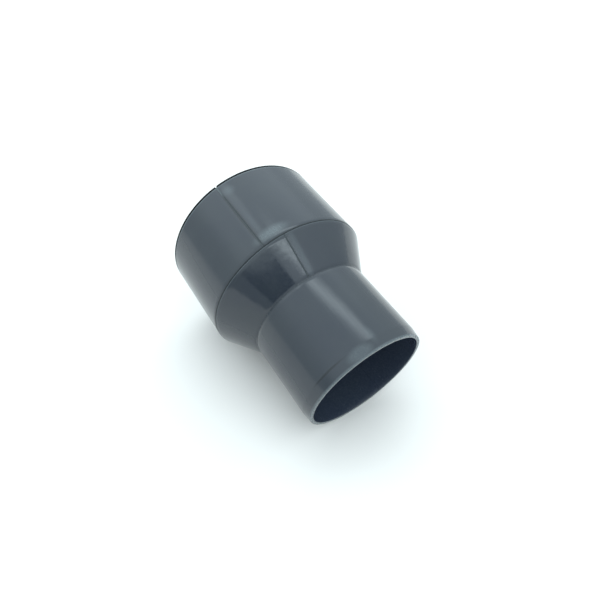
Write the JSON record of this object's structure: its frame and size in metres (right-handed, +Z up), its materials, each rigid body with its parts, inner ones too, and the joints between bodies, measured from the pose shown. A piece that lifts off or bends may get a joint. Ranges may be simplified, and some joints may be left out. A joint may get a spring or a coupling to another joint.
{
  "type": "pipe reducer",
  "caption": "Concentric pipe reducer in dark grey plastic: a large plain end, a short cone and a smaller plain end with a lead-in taper.",
  "frame": {"origin": "centre of the large end's rim, on the pipe axis", "axes": "+X along the pipe axis from the large end to the small end, +Z up"},
  "size_m": [0.137, 0.11, 0.11],
  "materials": {
    "shell": "semi-gloss dark slate grey PVC-U sheet",
    "seam": "fused PVC-U, slightly darker line",
    "fusion": "fused PVC-U, trimmed flush outside"
  },
  "bodies": {
    "root": {"large_end_shell": "shell", "large_end_seam": "seam", "cone_shell": "shell", "cone_seam": "seam", "small_end_shell": "shell", "small_end_seam": "seam", "shoulder_fusion": "fusion", "neck_fusion": "fusion"}
  },
  "joints": []
}
